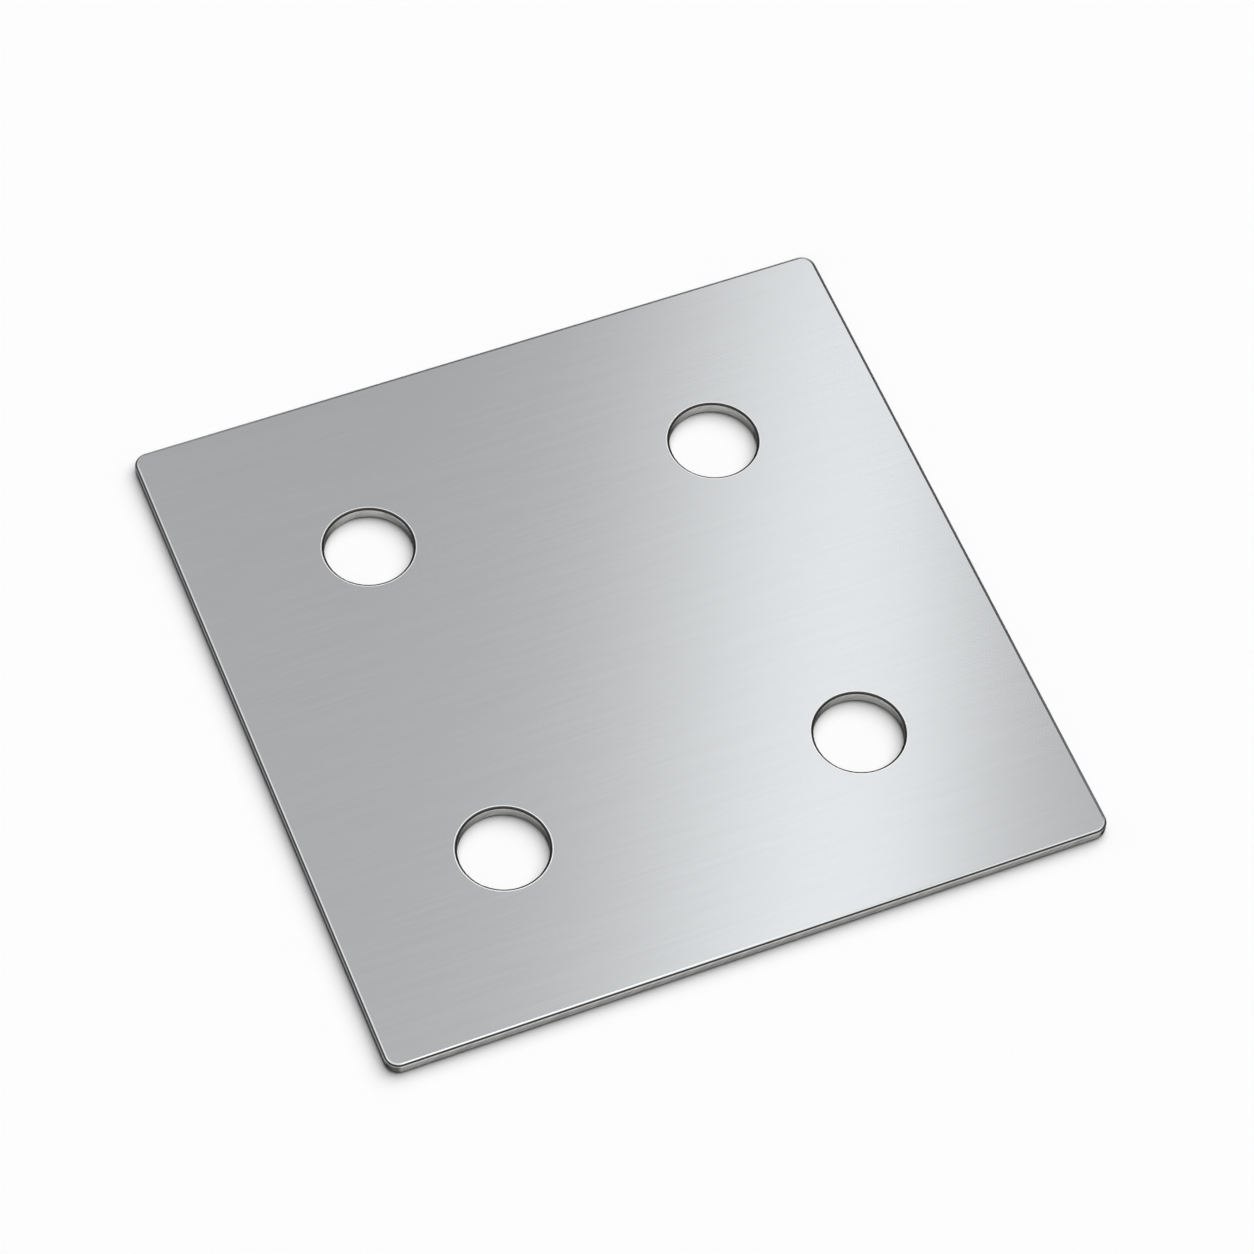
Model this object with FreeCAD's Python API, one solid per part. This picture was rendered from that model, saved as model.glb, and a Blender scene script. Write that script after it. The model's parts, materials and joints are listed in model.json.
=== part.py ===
import FreeCAD, Part
import math
import os

# Square connecting plate, cut from sheet steel, with a square pattern of round through holes.
# All lengths are in millimetres and angles in degrees.
# The origin is the centre of the underside. X and Y run along the sides and Z is the way up.

# Blank
side = 100.0
thickness = 2.0
corner_radius = 2.0

# Hole pattern: each hole's centre lies the same distance in from both of its nearest sides
hole_diameter = 12.0
hole_inset = 25.0

# Edges: the sharp cut edges are tumbled round, more on the outline than on the rims of the holes
outline_round = 0.5
rim_round = 0.35

quarter_turn = 90.0


def corner_arc(centre_x, centre_y, start_angle):
    """A quarter of a circle that rounds one corner of the blank, run counterclockwise."""
    circle = Part.Circle(FreeCAD.Vector(centre_x, centre_y, 0), FreeCAD.Vector(0, 0, 1), corner_radius)
    start = math.radians(start_angle)
    end = math.radians(start_angle + quarter_turn)
    return Part.ArcOfCircle(circle, start, end).toShape()


def end_of(edge):
    """The point at which an edge ends."""
    return edge.valueAt(edge.LastParameter)


def start_of(edge):
    """The point at which an edge begins."""
    return edge.valueAt(edge.FirstParameter)


def blank_outline():
    """A square with rounded corners: four arcs, joined by the straight sides."""
    reach = side / 2 - corner_radius
    corners = [(reach, reach), (-reach, reach), (-reach, -reach), (reach, -reach)]
    edges = []
    arcs = [corner_arc(x, y, index * quarter_turn) for index, (x, y) in enumerate(corners)]
    for index, arc in enumerate(arcs):
        following = arcs[(index + 1) % len(arcs)]
        edges.append(arc)
        edges.append(Part.LineSegment(end_of(arc), start_of(following)).toShape())
    return Part.Wire(edges)


def hole_centres():
    """The centres of the holes, at the corners of a square about the middle of the plate."""
    offset = side / 2 - hole_inset
    return [FreeCAD.Vector(x, y, 0) for x in (-offset, offset) for y in (-offset, offset)]


def hole_tool(centre):
    """The cylinder that one hole removes, through the whole thickness."""
    return Part.makeCylinder(hole_diameter / 2, thickness, centre, FreeCAD.Vector(0, 0, 1))


def plate_blank():
    """The flat sheet before any hole is made."""
    return Part.Face(blank_outline()).extrude(FreeCAD.Vector(0, 0, thickness))


def face_edges(solid, height):
    """The edges that lie flat on the face at this height."""
    near = 1e-6
    return [edge for edge in solid.Edges
            if abs(edge.BoundBox.ZMin - height) < near and abs(edge.BoundBox.ZMax - height) < near]


def is_rim(edge):
    """True for the full circle round the mouth of a hole."""
    return edge.isClosed()


def tumbled(solid, is_chosen, radius):
    """Round the chosen edges of both faces.

    A round takes at most a third of the thickness, so that a flat band stays between two of them.
    """
    allowed = min(radius, thickness / 3)
    edges = [edge for height in (0, thickness) for edge in face_edges(solid, height) if is_chosen(edge)]
    return solid.makeFillet(allowed, edges)


def square_plate():
    """The finished plate: blank, holes, then the rounds on its outline and on the rims."""
    plate = plate_blank().cut([hole_tool(centre) for centre in hole_centres()])
    plate = tumbled(plate, is_rim, rim_round)
    plate = tumbled(plate, lambda edge: not is_rim(edge), outline_round)
    return plate.Solids[0]


def report(shape):
    """Print what was made, so that a reader can compare it with the named sizes."""
    box = shape.optimalBoundingBox(True, False)
    print("square_plate: valid", shape.isValid(), "faces", len(shape.Faces))
    print("  size %.2f x %.2f x %.2f mm" % (box.XLength, box.YLength, box.ZLength))
    print("  volume %.1f mm3" % shape.Volume)


os.makedirs("parts", exist_ok=True)
plate = square_plate()
report(plate)
plate.exportStep("parts/square_plate.step")
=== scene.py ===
# %% [markdown]
# # A square plate of brushed stainless steel
#
# The object is one flat plate, cut from 2 mm sheet, with rounded corners and a square pattern of holes.
# A plain thing like this is hard to render well, because nothing hides behind detail. What the eye
# reads as steel is three things: the direction of the brushed grain, the thin bright and dark lines
# where the edges are rounded, and the soft shapes of light that the metal mirrors.
#
# The shape comes ready made from the CAD model, at its real size, and it already has the rounded edges
# that light needs. Geometry nodes make what repeats on an object, such as rivets or slats, and this
# plate has no such thing. So this lesson adds the finish, the light and the camera, in that order.

# %% Load the CAD model as a fixed frame
import json
import math

import bmesh
import bpy
from mathutils import Matrix, Vector


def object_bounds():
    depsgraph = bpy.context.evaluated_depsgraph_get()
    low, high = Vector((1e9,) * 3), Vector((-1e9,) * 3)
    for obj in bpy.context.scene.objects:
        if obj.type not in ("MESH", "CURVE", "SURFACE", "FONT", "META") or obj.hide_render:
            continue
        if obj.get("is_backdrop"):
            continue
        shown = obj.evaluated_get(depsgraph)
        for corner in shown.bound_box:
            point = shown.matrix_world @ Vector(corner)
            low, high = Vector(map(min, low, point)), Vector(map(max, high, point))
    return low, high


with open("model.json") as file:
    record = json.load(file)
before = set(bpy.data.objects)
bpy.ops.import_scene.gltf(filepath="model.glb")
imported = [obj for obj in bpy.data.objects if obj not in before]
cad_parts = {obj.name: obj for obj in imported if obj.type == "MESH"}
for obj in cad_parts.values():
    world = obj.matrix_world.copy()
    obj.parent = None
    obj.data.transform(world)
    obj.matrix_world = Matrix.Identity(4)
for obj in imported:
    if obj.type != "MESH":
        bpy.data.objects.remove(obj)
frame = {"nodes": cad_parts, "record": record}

MM = 0.001

plate = frame["nodes"]["square_plate"]
cad_low, cad_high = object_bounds()
plate_size = cad_high - cad_low
print("plate measures %.1f x %.1f x %.1f mm" % tuple(size / MM for size in plate_size))

# %% [markdown]
# ## Helpers for nodes and colours
#
# A material is a graph of nodes. Adding one takes three steps: make it, set its options, fill or link
# its inputs. One helper does all three, so that a recipe further down reads like a list.
#
# A colour is easiest to write as the hex code that a colour picker shows. Blender calculates in linear
# light, so one function turns the code into linear numbers.

# %% Add a node with its settings and its inputs
def add_node(tree, kind, inputs=None, stops=None, **settings):
    """Add a node. An input is a value, or the output socket of another node.

    A colour ramp also takes its stops: pairs of a position and a colour, in any order.
    """
    node = tree.nodes.new(kind)
    for name, value in settings.items():
        setattr(node, name, value)
    for name, value in (inputs or {}).items():
        if isinstance(value, bpy.types.NodeSocket):
            tree.links.new(value, node.inputs[name])
        else:
            node.inputs[name].default_value = value
    if stops:
        elements = node.color_ramp.elements
        while len(elements) < len(stops):
            elements.new(1.0)
        for element, (position, colour) in zip(elements, sorted(stops)):
            element.position = position
            element.color = colour
    return node


# %% Turn a hex colour into linear light
def linear(hex_code):
    """The linear red, green, blue and alpha of an sRGB hex code such as #C4C6C8."""
    channels = [int(hex_code[start:start + 2], 16) / 255 for start in (1, 3, 5)]
    lit = [c / 12.92 if c <= 0.04045 else ((c + 0.055) / 1.055) ** 2.4 for c in channels]
    return (*lit, 1.0)


def grey(value):
    """A plain number as the colour of a stop, for a ramp that gives a number."""
    return (value, value, value, 1.0)


print("mid grey #808080 is", ["%.3f" % channel for channel in linear("#808080")[:3]], "in linear light")

# %% [markdown]
# ## The finish: brushed stainless steel sheet
#
# The sheet is ground with an abrasive belt that runs one way, which leaves fine parallel scratches. Each
# scratch is a tiny groove, so light spreads far across the grain and only a little along it. The grain
# could be modelled as grooves, but they are hundredths of a millimetre wide. So it is anisotropy, which
# is the shader's own word for grooves too fine to see, with a faint streaky tone on top.
#
# The outline and the holes are cut afterwards, and tumbling rounds the sharp edges. So the steel has
# more than one finish. The face is belt-ground and matt. The crest of the edge, where the tumbling
# stones rub hardest, is bright. Round the holes a near-white lip takes its place, which is a painted
# highlight. The shoulder below the crest is painted near-black, a painted dark reflection. The wall under
# that shows the strokes of the cut, and its foot is painted dark as painted contact shade.

# %% Start the material
def new_material(name):
    """An empty node material, ready for a recipe."""
    material = bpy.data.materials.new(name)
    material.use_nodes = True
    material.node_tree.nodes.clear()
    return material


steel = new_material("brushed_stainless_sheet")
tree = steel.node_tree
place = add_node(tree, "ShaderNodeTexCoord")
place_parts = add_node(tree, "ShaderNodeSeparateXYZ", {0: place.outputs["Object"]})
normal_parts = add_node(tree, "ShaderNodeSeparateXYZ", {0: place.outputs["Normal"]})
print("started the material", steel.name)

# %% [markdown]
# ## The slope of a rounded edge
#
# The finishes could be separate materials on separate faces. Here one material tells them apart by
# place. A place on a rounded edge has a slope, level on the face and upright on the wall, and each
# finish takes a range of slopes.
#
# The normal gives the slope too, but from facet to facet it is a little uneven, and thin lines would
# show that as kinks. How far out and how far up a place lies on the edge is exact.

# %% Find the rims of the holes
# The plate is folded onto one quarter by taking X and Y without their signs, and Z is dropped. That
# puts all four holes in one place. No other edge comes within 10 mm of a hole's centre.
holes = next(mount["dims"] for mount in frame["record"]["mounts"] if mount["name"] == "bolt_holes")
HOLE_RADIUS = holes["hole_r_mm"] * MM
HOLE_CENTRE = (holes["spacing_x_mm"] / 2 * MM, holes["spacing_y_mm"] / 2 * MM, 0.0)
RIM_REACH = HOLE_RADIUS + 4 * MM
# The lip round a hole is painted near-white as a painted highlight, and it ends this far out.
PAINTED_LIP_REACH = HOLE_RADIUS + 0.42 * MM
PAINTED_LIP_FADE = 0.06 * MM

seen_from_above = add_node(tree, "ShaderNodeVectorMath", {
    0: place.outputs["Object"], 1: (1.0, 1.0, 0.0),
}, operation="MULTIPLY")
folded = add_node(tree, "ShaderNodeVectorMath", {0: seen_from_above.outputs[0]}, operation="ABSOLUTE")
from_centre = add_node(tree, "ShaderNodeVectorMath", {
    0: folded.outputs[0], 1: HOLE_CENTRE,
}, operation="DISTANCE")
at_rim = add_node(tree, "ShaderNodeMath", {
    0: from_centre.outputs["Value"], 1: RIM_REACH,
}, operation="LESS_THAN").outputs[0]
beyond_painted_lip = add_node(tree, "ShaderNodeMapRange", {
    "Value": from_centre.outputs["Value"], "From Min": PAINTED_LIP_REACH, "From Max": PAINTED_LIP_REACH + PAINTED_LIP_FADE,
}).outputs["Result"]
print("rims reach %.0f mm from a hole's centre, lips %.2f mm" % (RIM_REACH / MM, PAINTED_LIP_REACH / MM))

# %% Measure how far out a place on an edge lies
# This runs from 0 where the flat face ends to 1 at the wall. At the outline it is measured from a
# smaller square, whose corners are the centres of the rounded corners. The three radii are the plate's.
OUTLINE_ROUND = 0.5 * MM
RIM_ROUND = 0.35 * MM
CORNER_RADIUS = 2.0 * MM

corner_centre = (plate_size.x / 2 - CORNER_RADIUS, plate_size.y / 2 - CORNER_RADIUS, 0.0)
past_corner = add_node(tree, "ShaderNodeVectorMath", {
    0: folded.outputs[0], 1: corner_centre,
}, operation="SUBTRACT")
outside_square = add_node(tree, "ShaderNodeVectorMath", {
    0: past_corner.outputs[0], 1: (0.0, 0.0, 0.0),
}, operation="MAXIMUM")
from_square = add_node(tree, "ShaderNodeVectorMath", {0: outside_square.outputs[0]}, operation="LENGTH")
out_at_outline = add_node(tree, "ShaderNodeMapRange", {
    "Value": from_square.outputs["Value"], "From Min": CORNER_RADIUS - OUTLINE_ROUND,
    "From Max": CORNER_RADIUS,
}).outputs["Result"]
out_at_rim = add_node(tree, "ShaderNodeMapRange", {
    "Value": from_centre.outputs["Value"], "From Min": HOLE_RADIUS, "From Max": HOLE_RADIUS + RIM_ROUND,
    "To Min": 1.0, "To Max": 0.0,
}).outputs["Result"]
print("rounds take %.2f mm at the outline and %.2f mm at a rim" % (OUTLINE_ROUND / MM, RIM_ROUND / MM))

# %% Work out the slope of an edge
# How far out and how far up a place lies give its slope: 0 degrees on top, 90 on the wall and 180
# underneath. A ramp runs from 0 to 1, so it reads (1 + cosine of the slope) / 2, which is 1 on top, a
# half on the wall and 0 underneath.
def slope_here(edge_round, outward):
    """The ramp's input on an edge with this round."""
    upper = add_node(tree, "ShaderNodeMapRange", {
        "Value": place_parts.outputs["Z"], "From Min": cad_high.z - edge_round, "From Max": cad_high.z,
        "To Min": 0.0, "To Max": 1.0,
    })
    lower = add_node(tree, "ShaderNodeMapRange", {
        "Value": place_parts.outputs["Z"], "From Min": cad_low.z, "From Max": cad_low.z + edge_round,
        "To Min": -1.0, "To Max": 0.0,
    })
    upward = add_node(tree, "ShaderNodeMath", {0: upper.outputs["Result"], 1: lower.outputs["Result"]})
    leaning = add_node(tree, "ShaderNodeCombineXYZ", {"X": outward, "Z": upward.outputs[0]})
    leaning = add_node(tree, "ShaderNodeVectorMath", {0: leaning.outputs[0]}, operation="NORMALIZE")
    cosine = add_node(tree, "ShaderNodeSeparateXYZ", {0: leaning.outputs[0]}).outputs["Z"]
    on_ramp = add_node(tree, "ShaderNodeMath", {0: cosine, 1: 0.5, 2: 0.5}, operation="MULTIPLY_ADD")
    return on_ramp.outputs[0]


def slope(degrees):
    """Where a surface that slopes this much comes on the ramp."""
    return (1 + math.cos(math.radians(degrees))) / 2


print("on the ramp a slope of 30 degrees is %.3f, of 60 degrees %.3f" % (slope(30), slope(60)))

# %% Tell the finishes apart
# A finish is a number from 0 to 1, so that one can blend into the next. The slopes are in degrees: the
# crest ends, the shoulder begins and ends, the wall begins and ends, and the band at the foot, painted
# dark as painted contact shade, begins. A rim was punched: its painted dark shoulder reaches further both
# ways, and in place of a crest it has a lip, a near-white band painted as a highlight.
# The lip value names a painted highlight, and the dark value a painted dark reflection and painted shade.
PAINTED_HIGHLIGHT_LIP = 0.0
CREST = 0.25
PAINTED_DARK_FINISH = 0.6
WALL = 1.0
OUTLINE_SLOPES = (26.0, 34.0, 54.0, 66.0, 90.0, 97.0)
RIM_SLOPES = (2.0, 8.0, 66.0, 76.0, 90.0, 97.0)
LOWER_CREST = (146.0, 154.0)


def finish_at(slope_on_ramp, slopes, highest):
    """Which finish an edge has here, from the highest one, lip or crest, to the painted dark one and the
    wall.
    """
    crest_ends, shoulder_begins, shoulder_ends, wall_begins, wall_ends, painted_foot_shade_begins = slopes
    return add_node(tree, "ShaderNodeValToRGB", {"Fac": slope_on_ramp}, stops=[
        (slope(crest_ends), grey(highest)), (slope(shoulder_begins), grey(PAINTED_DARK_FINISH)),
        (slope(shoulder_ends), grey(PAINTED_DARK_FINISH)), (slope(wall_begins), grey(WALL)),
        (slope(wall_ends), grey(WALL)), (slope(painted_foot_shade_begins), grey(PAINTED_DARK_FINISH)),
        (slope(LOWER_CREST[0]), grey(PAINTED_DARK_FINISH)), (slope(LOWER_CREST[1]), grey(highest)),
    ]).outputs["Color"]


outline_finish = finish_at(slope_here(OUTLINE_ROUND, out_at_outline), OUTLINE_SLOPES, CREST)
rim_finish = finish_at(slope_here(RIM_ROUND, out_at_rim), RIM_SLOPES, PAINTED_HIGHLIGHT_LIP)
edge_finish = add_node(tree, "ShaderNodeMix", {
    0: at_rim, 2: outline_finish, 3: rim_finish,
}, data_type="FLOAT").outputs[0]
print("the crest ends at %.0f degrees, the lip at %.0f" % (OUTLINE_SLOPES[0], RIM_SLOPES[0]))

# %% [markdown]
# ## The cut wall
#
# The blade leaves slanted strokes on the wall. They could be bump, but at this size a stroke is seen
# only as a change of tone, so it is one. The corners are darkened too, which is a painted dark
# reflection. Both pull the wall's finish towards the shoulder's painted dark.

# %% Draw the strokes of the cut
# A stroke is 0.35 mm wide and 3 mm long. The pattern is also turned about Z, halfway between X and Y,
# so that it cuts all four sides alike. Noise seldom comes near 0 or 1, so the depth is spread over the
# range that most of it fills.
STROKE_SIZE = (0.35 * MM, 3.0 * MM, 3.0 * MM)
STROKE_SLANT = 40.0
STROKE_TURN = 45.0
STROKE_DEPTH = 0.10
MOST_NOISE = (0.35, 0.65)

slanted = add_node(tree, "ShaderNodeMapping", {
    "Vector": place.outputs["Object"], "Scale": STROKE_SIZE,
    "Rotation": (0.0, math.radians(STROKE_SLANT), math.radians(STROKE_TURN)),
}, vector_type="TEXTURE")
strokes = add_node(tree, "ShaderNodeTexNoise", {"Vector": slanted.outputs[0], "Scale": 1.0, "Detail": 1.0})
wall_strokes = add_node(tree, "ShaderNodeMapRange", {
    "Value": strokes.outputs[0], "From Min": MOST_NOISE[0], "From Max": MOST_NOISE[1],
    "To Min": 1 - STROKE_DEPTH, "To Max": 1.0,
}).outputs["Result"]
print("strokes are %.2f mm wide and slant %.0f degrees" % (STROKE_SIZE[0] / MM, STROKE_SLANT))

# %% Paint dark reflections on the corners
# A corner is where the normal points between X and Y, so that X times Y is well above nothing. The
# walls of the holes turn through such directions too and are kept out.
# The corner walls are pulled towards the painted dark finish, a painted dark reflection.
CORNER_BEGINS = 0.15
CORNER_FULL = 0.35
PAINTED_CORNER_DARK = 0.25

diagonal = add_node(tree, "ShaderNodeMath", {
    0: normal_parts.outputs["X"], 1: normal_parts.outputs["Y"],
}, operation="MULTIPLY").outputs[0]
diagonal = add_node(tree, "ShaderNodeMath", {0: diagonal}, operation="ABSOLUTE").outputs[0]
painted_corner_dark = add_node(tree, "ShaderNodeMapRange", {
    "Value": diagonal, "From Min": CORNER_BEGINS, "From Max": CORNER_FULL,
    "To Min": 1.0, "To Max": 1 - PAINTED_CORNER_DARK,
}).outputs["Result"]
painted_corner_dark = add_node(tree, "ShaderNodeMath", {0: painted_corner_dark, 1: at_rim}, operation="MAXIMUM").outputs[0]
strokes_and_painted_corners = add_node(tree, "ShaderNodeMath", {
    0: wall_strokes, 1: painted_corner_dark,
}, operation="MULTIPLY").outputs[0]
edge_finish = add_node(tree, "ShaderNodeMath", {
    0: edge_finish, 1: strokes_and_painted_corners,
}, operation="MINIMUM").outputs[0]
print("a wall loses %.2f of its finish in a stroke and %.2f at a corner" % (STROKE_DEPTH, PAINTED_CORNER_DARK))

# %% Give each finish its colour, its roughness and its rim tint
# Metal mirrors more where it is seen at a low angle. The rim tint, which is the colour at such angles,
# holds that back on the wall, and on the shoulder and the foot, where it adds to their painted dark.
# The lip's near-white is a painted highlight. The near-black is a painted dark reflection on the shoulder
# and the corners, and painted shade at the foot.
EDGE_COLOURS = {PAINTED_HIGHLIGHT_LIP: "#FEFEFD", CREST: "#C9CBCC", PAINTED_DARK_FINISH: "#3E3D3C", WALL: "#CACAC8"}
EDGE_ROUGHNESS = {PAINTED_HIGHLIGHT_LIP: 0.50, CREST: 0.16, PAINTED_DARK_FINISH: 0.30, WALL: 0.22}
EDGE_RIM_TINT = {PAINTED_HIGHLIGHT_LIP: 1.0, CREST: 1.0, PAINTED_DARK_FINISH: 0.1, WALL: 0.08}

edge_colour = add_node(tree, "ShaderNodeValToRGB", {"Fac": edge_finish}, stops=[
    (finish, linear(hex_code)) for finish, hex_code in EDGE_COLOURS.items()
]).outputs["Color"]
edge_roughness = add_node(tree, "ShaderNodeValToRGB", {"Fac": edge_finish}, stops=[
    (finish, grey(value)) for finish, value in EDGE_ROUGHNESS.items()
]).outputs["Color"]
rim_tint = add_node(tree, "ShaderNodeValToRGB", {"Fac": edge_finish}, stops=[
    (finish, grey(value)) for finish, value in EDGE_RIM_TINT.items()
]).outputs["Color"]
print("an edge has", len(EDGE_COLOURS), "finishes")

# %% [markdown]
# ## The brushed face
#
# The face is everything level that isn't lip. Its grain could be drawn in bump, but then it would
# sparkle, and a brushed face doesn't. So the grain is a faint change of tone and of roughness, and the
# anisotropy stretches every reflection across it.

# %% Find the flat faces
# The lip, a painted highlight, reaches a little way onto the flat face, so being level isn't all that
# makes a face.
FACE_ENDS = 2.0
ROUND_BEGINS = 6.0

upright = add_node(tree, "ShaderNodeMath", {0: normal_parts.outputs["Z"]}, operation="ABSOLUTE").outputs[0]
is_level = add_node(tree, "ShaderNodeMapRange", {
    "Value": upright, "From Min": math.cos(math.radians(ROUND_BEGINS)),
    "From Max": math.cos(math.radians(FACE_ENDS)),
}, interpolation_type="SMOOTHSTEP").outputs["Result"]
is_face = add_node(tree, "ShaderNodeMath", {0: is_level, 1: beyond_painted_lip}, operation="MINIMUM").outputs[0]
print("a face blends into an edge between slopes of %.0f and %.0f degrees" % (FACE_ENDS, ROUND_BEGINS))

# %% Draw the grain
# One streak is long along X and narrow along Y. Stretched noise gives that: its size along each axis
# is the real length, turned into a scale. Real scratches are near 0.02 mm wide. These are 0.45 mm,
# the width at which they show as a grain in the picture.
SCRATCH_LENGTH = 9.0
SCRATCH_WIDTH = 0.45
BAND_LENGTH = 45.0
BAND_WIDTH = 1.6
DETAIL_STRENGTH = 0.6


def streaks(length, width, detail):
    """Noise stretched along X. Both sizes are in millimetres."""
    scale = (1 / (length * MM), 1 / (width * MM), 1 / (length * MM))
    stretched = add_node(tree, "ShaderNodeMapping", {"Vector": place.outputs["Object"], "Scale": scale})
    noise = add_node(tree, "ShaderNodeTexNoise", {
        "Vector": stretched.outputs[0], "Scale": 1.0, "Detail": detail, "Roughness": DETAIL_STRENGTH,
    })
    return noise.outputs[0]


scratches = streaks(SCRATCH_LENGTH, SCRATCH_WIDTH, detail=0.0)
bands = streaks(BAND_LENGTH, BAND_WIDTH, detail=1.0)
print("scratches are %.1f mm long and %.2f mm wide" % (SCRATCH_LENGTH, SCRATCH_WIDTH))

# %% Give the grain its tone and its roughness
# The grain shows as a faint change of tone and, inside the sheen, as streaks where one band is a
# little rougher than the next.
TONE_DARK = "#C3C5C7"
TONE_LIGHT = "#C5C7C9"
STEEL_ROUGHNESS = 0.241
ROUGHNESS_SPREAD = 0.0025
ALL_NOISE = (0.3, 0.7)
BAND_SHARE = 0.5

grain = add_node(tree, "ShaderNodeMix", {
    0: BAND_SHARE, 2: scratches, 3: bands,
}, data_type="FLOAT").outputs[0]
face_colour = add_node(tree, "ShaderNodeValToRGB", {"Fac": grain}, stops=[
    (MOST_NOISE[0], linear(TONE_DARK)), (MOST_NOISE[1], linear(TONE_LIGHT)),
]).outputs["Color"]
face_roughness = add_node(tree, "ShaderNodeMapRange", {
    "Value": grain, "From Min": ALL_NOISE[0], "From Max": ALL_NOISE[1],
    "To Min": STEEL_ROUGHNESS - ROUGHNESS_SPREAD, "To Max": STEEL_ROUGHNESS + ROUGHNESS_SPREAD,
}).outputs["Result"]

colour = add_node(tree, "ShaderNodeMix", {0: is_face, 6: edge_colour, 7: face_colour}, data_type="RGBA")
roughness = add_node(tree, "ShaderNodeMix", {0: is_face, 2: edge_roughness, 3: face_roughness},
                     data_type="FLOAT")
print("the face's roughness is %.3f, give or take %.4f" % (STEEL_ROUGHNESS, ROUGHNESS_SPREAD))

# %% Point the anisotropy across the grain
# On the faces, light spreads across the grain, along Y. On an edge it spreads along the edge, which
# is the direction square to both the normal and the way up. Where the surface is level those two are
# one, and there is no such direction, so every level place takes the face's.
along_edge = add_node(tree, "ShaderNodeVectorMath", {
    0: (0.0, 0.0, 1.0), 1: place.outputs["Normal"],
}, operation="CROSS_PRODUCT")
spread = add_node(tree, "ShaderNodeMix", {
    0: is_level, 4: along_edge.outputs[0], 5: (0.0, 1.0, 0.0),
}, data_type="VECTOR")
spread_in_scene = add_node(tree, "ShaderNodeVectorTransform", {0: spread.outputs[1]},
                           vector_type="VECTOR", convert_from="OBJECT", convert_to="WORLD")

# %% Assemble the steel
STEEL_ANISOTROPY = 0.528

shader = add_node(tree, "ShaderNodeBsdfPrincipled", {
    "Base Color": colour.outputs[2], "Metallic": 1.0, "Roughness": roughness.outputs[0],
    "Specular Tint": rim_tint, "Anisotropic": STEEL_ANISOTROPY, "Tangent": spread_in_scene.outputs[0],
})
add_node(tree, "ShaderNodeOutputMaterial", {"Surface": shader.outputs[0]})
plate.material_slots[0].material = steel
print("steel has", len(tree.nodes), "nodes")

# %% [markdown]
# ## The table
#
# The plate lies on a white table. The table is part of the light: the upright edges reflect it, and the
# plate's shadow on it shows that the two touch.
#
# A white table is often given its own glow, so that it can't turn grey. Here it is plain white paint
# instead, and the lamps are set so that white paint renders as white. That way the shadow stays.

# %% Make flat panels
def panel(name, centre, across, along, width, length, material):
    """A flat rectangle. Its length runs along one direction and its width across it."""
    half_width = across.normalized() * width / 2
    half_length = along.normalized() * length / 2
    corners = [centre + half_width * i + half_length * j for i, j in ((-1, -1), (1, -1), (1, 1), (-1, 1))]
    mesh = bpy.data.meshes.new(name)
    mesh.from_pydata([tuple(corner) for corner in corners], [], [(0, 1, 2, 3)])
    mesh.uv_layers.new(name="UVMap")
    for loop, spot in zip(mesh.uv_layers[0].data, ((0, 0), (1, 0), (1, 1), (0, 1))):
        loop.uv = spot
    mesh.materials.append(material)
    made = bpy.data.objects.new(name, mesh)
    bpy.context.scene.collection.objects.link(made)
    made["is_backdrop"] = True
    return made


# %% Lay the table
# It lies a hundredth of a millimetre under the plate, because two faces in one plane would flicker.
TABLE_HALF = 3.0
TABLE_GAP = 0.01
TABLE_WHITE = "#FDFDFD"

table_paint = new_material("white_table")
tree = table_paint.node_tree
paint = add_node(tree, "ShaderNodeBsdfDiffuse", {"Color": linear(TABLE_WHITE)})
add_node(tree, "ShaderNodeOutputMaterial", {"Surface": paint.outputs[0]})
table_centre = Vector((0, 0, cad_low.z - TABLE_GAP * MM))
table_size = 2 * TABLE_HALF
panel("table", table_centre, Vector((1, 0, 0)), Vector((0, 1, 0)), table_size, table_size, table_paint)
print("table is %.0f m wide and lies at %.2f mm" % (table_size, table_centre.z / MM))

# %% [markdown]
# ## The light on the table
#
# Light does two jobs here, and each has its own lamps. The first job is to light the table and cast the
# shadow. The shadow in the picture is soft, deepest at the foot of the left and front edges, and missing
# at the other two. So most of the light comes from a wide round lamp high on the right.
#
# A sun lamp with a large angle gives such a shadow with two numbers: how high it stands, and how wide it
# looks. The rest is an even fill from the room. The two shares add up to one, the level at which a
# colour renders as it is written. The metal mustn't mirror this lamp, so glossy rays miss it.

# %% Hang the key lamp
KEY_AZIMUTH = 30.0
KEY_ELEVATION = 61.0
KEY_WIDTH = 73.0
KEY_SHARE = 0.72
FILL_SHARE = 1 - KEY_SHARE


def direction_to(azimuth, elevation):
    """The unit vector towards this azimuth from X and elevation from the table, in degrees."""
    turn, lift = math.radians(azimuth), math.radians(elevation)
    return Vector((math.cos(turn) * math.cos(lift), math.sin(turn) * math.cos(lift), math.sin(lift)))


key = bpy.data.lights.new("key_lamp", "SUN")
key.angle = math.radians(KEY_WIDTH)
key.energy = KEY_SHARE * math.pi / math.sin(math.radians(KEY_ELEVATION))
key_lamp = bpy.data.objects.new("key_lamp", key)
key_lamp.rotation_euler = direction_to(KEY_AZIMUTH, KEY_ELEVATION).to_track_quat("Z", "Y").to_euler()
key_lamp.visible_glossy = False
bpy.context.scene.collection.objects.link(key_lamp)
print("key lamp %.2f, fill %.2f" % (KEY_SHARE, FILL_SHARE))

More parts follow.
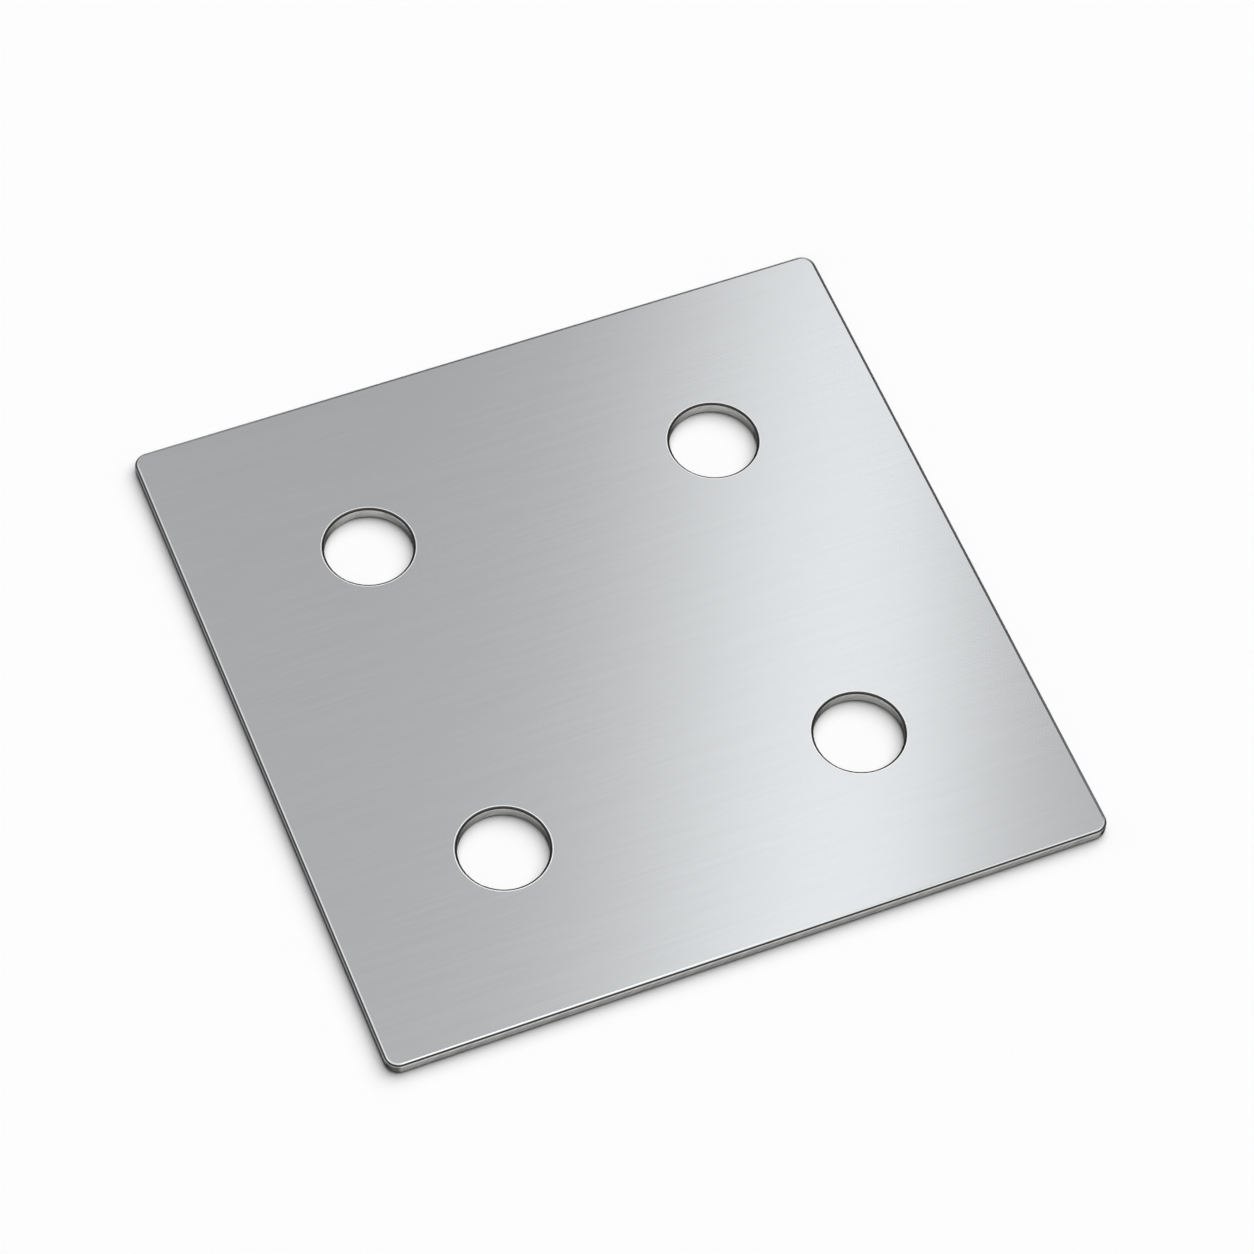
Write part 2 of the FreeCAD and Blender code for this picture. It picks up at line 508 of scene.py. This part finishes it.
# %% Fill the room with white
# The camera, the metal and glass all see a white room. Diffuse rays get the even fill.
world = bpy.data.worlds.new("white_room")
bpy.context.scene.world = world
world.use_nodes = True
tree = world.node_tree
tree.nodes.clear()
ray = add_node(tree, "ShaderNodeLightPath")
strength = add_node(tree, "ShaderNodeMix", {
    0: ray.outputs["Is Diffuse Ray"], 2: 1.0, 3: FILL_SHARE,
}, data_type="FLOAT")
background = add_node(tree, "ShaderNodeBackground", {"Color": grey(1.0), "Strength": strength.outputs[0]})
add_node(tree, "ShaderNodeOutputWorld", {"Surface": background.outputs[0]})
print("room is", world.name)

# %% [markdown]
# ## What the metal mirrors
#
# The second job is to give the steel something to mirror, because a metal has no look of its own. A
# photographer hangs a light tent over the plate, bright at the top and dimmer towards the table. The
# crests of the edges mirror its top, which draws the thin bright lines.
#
# The tent could be part of the world's background. Here it is a real dome, because boxes and cards are
# then hung inside it at real places, and the lamp and the camera simply don't see it.

# %% Make things that only metal sees
def only_for_metal(thing):
    """Hide a staged thing from the camera, the lamp and diffuse light."""
    thing.visible_camera = False
    thing.visible_diffuse = False
    thing.visible_transmission = False
    thing.visible_shadow = False


# %% Raise the tent
# Its cloth changes from the foot's level to the top's between two heights, given as shares of its radius.
TENT_RADIUS = 1.5
TENT_TOP = 1.32
TENT_FOOT = 0.6
TENT_FADES_FROM = 0.66
TENT_FADES_TO = 0.78

tent_cloth = new_material("tent_cloth")
tree = tent_cloth.node_tree
position = add_node(tree, "ShaderNodeNewGeometry")
position_parts = add_node(tree, "ShaderNodeSeparateXYZ", {0: position.outputs["Position"]})
height = add_node(tree, "ShaderNodeMath", {
    0: position_parts.outputs["Z"], 1: TENT_RADIUS,
}, operation="DIVIDE").outputs[0]
level = add_node(tree, "ShaderNodeMapRange", {
    "Value": height, "From Min": TENT_FADES_FROM, "From Max": TENT_FADES_TO,
    "To Min": TENT_FOOT, "To Max": TENT_TOP,
}, interpolation_type="SMOOTHSTEP").outputs["Result"]
glow = add_node(tree, "ShaderNodeEmission", {"Strength": level})
add_node(tree, "ShaderNodeOutputMaterial", {"Surface": glow.outputs[0]})

dome = bmesh.new()
bmesh.ops.create_uvsphere(dome, u_segments=64, v_segments=32, radius=TENT_RADIUS)
below = [vertex for vertex in dome.verts if vertex.co.z < -MM]
bmesh.ops.delete(dome, geom=below, context="VERTS")
tent_mesh = bpy.data.meshes.new("tent")
dome.to_mesh(tent_mesh)
dome.free()
tent_mesh.materials.append(tent_cloth)
tent = bpy.data.objects.new("tent", tent_mesh)
bpy.context.scene.collection.objects.link(tent)
tent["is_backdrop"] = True
only_for_metal(tent)
print("tent reaches", TENT_RADIUS, "m and has", len(tent_mesh.polygons), "faces")

# %% [markdown]
# ## The soft box and the card
#
# The face mirrors a patch of the tent, up and behind the plate. A grey card hangs there, so that the
# face is grey and the crests stay bright. The bright band across the face is the mirror image of a long
# narrow soft box in front of the card. The grain smears it across, which makes the band wide. The box
# is brightest near its right rim and fades slowly to the left, so the band does the same.
#
# Each is a level panel, and it fades out towards its rims, as real cloth does. The box lets light
# through, so it adds to what hangs behind it. The card covers what hangs behind it. A panel is laid out
# by its centre line: how far it reaches to each side of the line and over how much of that it fades.

# %% Make the cloth of a panel
def faded_cloth(name, radiance, size, fades, covers):
    """Light that fades out towards each rim. Sizes and fades are in mm: width, then length."""
    material = new_material(name)
    tree = material.node_tree
    spot = add_node(tree, "ShaderNodeUVMap")
    parts = add_node(tree, "ShaderNodeSeparateXYZ", {0: spot.outputs[0]})
    share = 1.0
    for axis, reach, (fade_low, fade_high) in zip("XY", size, fades):
        from_low = add_node(tree, "ShaderNodeMath", {
            0: parts.outputs[axis], 1: reach,
        }, operation="MULTIPLY").outputs[0]
        from_high = add_node(tree, "ShaderNodeMath", {
            0: reach, 1: from_low,
        }, operation="SUBTRACT").outputs[0]
        for from_rim, fade in ((from_low, fade_low), (from_high, fade_high)):
            lit = add_node(tree, "ShaderNodeMapRange", {
                "Value": from_rim, "From Min": 0.0, "From Max": fade,
            }, interpolation_type="SMOOTHSTEP").outputs["Result"]
            share = add_node(tree, "ShaderNodeMath", {0: share, 1: lit}, operation="MULTIPLY").outputs[0]
    through = add_node(tree, "ShaderNodeBsdfTransparent")
    if covers:
        glow = add_node(tree, "ShaderNodeEmission", {"Strength": radiance})
        both = add_node(tree, "ShaderNodeMixShader", {0: share, 1: through.outputs[0], 2: glow.outputs[0]})
    else:
        faded = add_node(tree, "ShaderNodeMath", {0: share, 1: radiance}, operation="MULTIPLY").outputs[0]
        glow = add_node(tree, "ShaderNodeEmission", {"Strength": faded})
        both = add_node(tree, "ShaderNodeAddShader", {0: glow.outputs[0], 1: through.outputs[0]})
    add_node(tree, "ShaderNodeOutputMaterial", {"Surface": both.outputs[0]})
    return material


# %% Hang the card and the box
def hang(name, centre, turn, reach, length, radiance, side_fades, end_fade, covers):
    """A level panel above the table.

    Its centre line runs through the centre at this many degrees from X, and it reaches this far to the
    left and to the right of the line. All sizes are in millimetres.
    """
    along = direction_to(turn, 0.0)
    across = Vector((along.y, -along.x, 0))
    left, right = reach
    middle = Vector(centre) + across * (right - left) / 2
    width = left + right
    material = faded_cloth(name, radiance, (width, length), (side_fades, (end_fade, end_fade)), covers)
    made = panel(name, middle * MM, across, along, width * MM, length * MM, material)
    only_for_metal(made)
    print("%s is %.0f x %.0f mm" % (name, width, length))


hang("grey_card", centre=(75.0, 170.0, 306.0), turn=90.0, reach=(160, 160), length=360,
     radiance=0.69, side_fades=(30, 30), end_fade=20, covers=True)
hang("strip_box", centre=(144.0, 155.0, 300.0), turn=64.9, reach=(78, 12), length=800,
     radiance=1.27, side_fades=(78, 12), end_fade=100, covers=False)

# %% [markdown]
# ## The black flag
#
# In a tent that is bright all round, every edge of the plate would turn pale and the outline would
# melt into the white table. So a photographer stands a black flag behind the object, on the right. The
# crests of the back and right edges mirror it, which draws them dark. A flag could cover the whole back
# of the tent, but then the face would darken too. This one stands low and is as wide as the two edges
# need.

# %% Stand the black flag
FLAG_AZIMUTH = 53.5
FLAG_DISTANCE = 800.0
FLAG_WIDTH = 860.0
FLAG_FOOT = 260.0
FLAG_TOP = 1060.0
FLAG_GLOW = 0.04

black_cloth = new_material("black_cloth")
tree = black_cloth.node_tree
glow = add_node(tree, "ShaderNodeEmission", {"Strength": FLAG_GLOW})
add_node(tree, "ShaderNodeOutputMaterial", {"Surface": glow.outputs[0]})
towards = direction_to(FLAG_AZIMUTH, 0.0)
flag_middle = towards * FLAG_DISTANCE + Vector((0, 0, (FLAG_FOOT + FLAG_TOP) / 2))
flag = panel("black_flag", flag_middle * MM, Vector((-towards.y, towards.x, 0)), Vector((0, 0, 1)),
             FLAG_WIDTH * MM, (FLAG_TOP - FLAG_FOOT) * MM, black_cloth)
only_for_metal(flag)
print("flag is %.0f x %.0f mm" % (FLAG_WIDTH, FLAG_TOP - FLAG_FOOT))

# %% [markdown]
# ## The camera
#
# The picture is taken with a long lens, from high on the left, and the camera is tipped a little. The
# place was found by matching the four corners and the four holes. It could be written as a matrix, but
# it is easier to read as a photographer would say it: how far round, how high, how far away, and what
# it points at.

# %% Place the camera
CAMERA_AZIMUTH = -25.32
CAMERA_ELEVATION = 56.84
CAMERA_ROLL = 4.02
CAMERA_DISTANCE = 641.4
CAMERA_TARGET = (3.16, 2.12, 0.0)
FOCAL_LENGTH_IN_WIDTHS = 3.839
SENSOR_WIDTH = 36.0

azimuth, elevation, roll = (math.radians(a) for a in (CAMERA_AZIMUTH, CAMERA_ELEVATION, CAMERA_ROLL))
back = Vector((math.sin(azimuth) * math.cos(elevation), -math.cos(azimuth) * math.cos(elevation),
               math.sin(elevation)))
level_right = Vector((0, 0, 1)).cross(back).normalized()
level_up = back.cross(level_right)
right = level_right * math.cos(roll) + level_up * math.sin(roll)
up = level_up * math.cos(roll) - level_right * math.sin(roll)

lens = bpy.data.cameras.new("camera")
lens.sensor_width = SENSOR_WIDTH
lens.lens = FOCAL_LENGTH_IN_WIDTHS * SENSOR_WIDTH
lens.clip_start = 10 * MM
lens.clip_end = 10.0
camera = bpy.data.objects.new("camera", lens)
turned = Matrix((right, up, back)).transposed().to_4x4()
camera.matrix_world = Matrix.Translation((Vector(CAMERA_TARGET) + back * CAMERA_DISTANCE) * MM) @ turned
bpy.context.scene.collection.objects.link(camera)
bpy.context.scene.camera = camera
print("lens %.0f mm" % lens.lens)

# %% Set the view and print the finished sizes
bpy.context.scene.view_settings.view_transform = "Standard"
visual_low, visual_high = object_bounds()
visual_size = visual_high - visual_low
print("finished plate measures %.1f x %.1f x %.1f mm" % tuple(size / MM for size in visual_size))
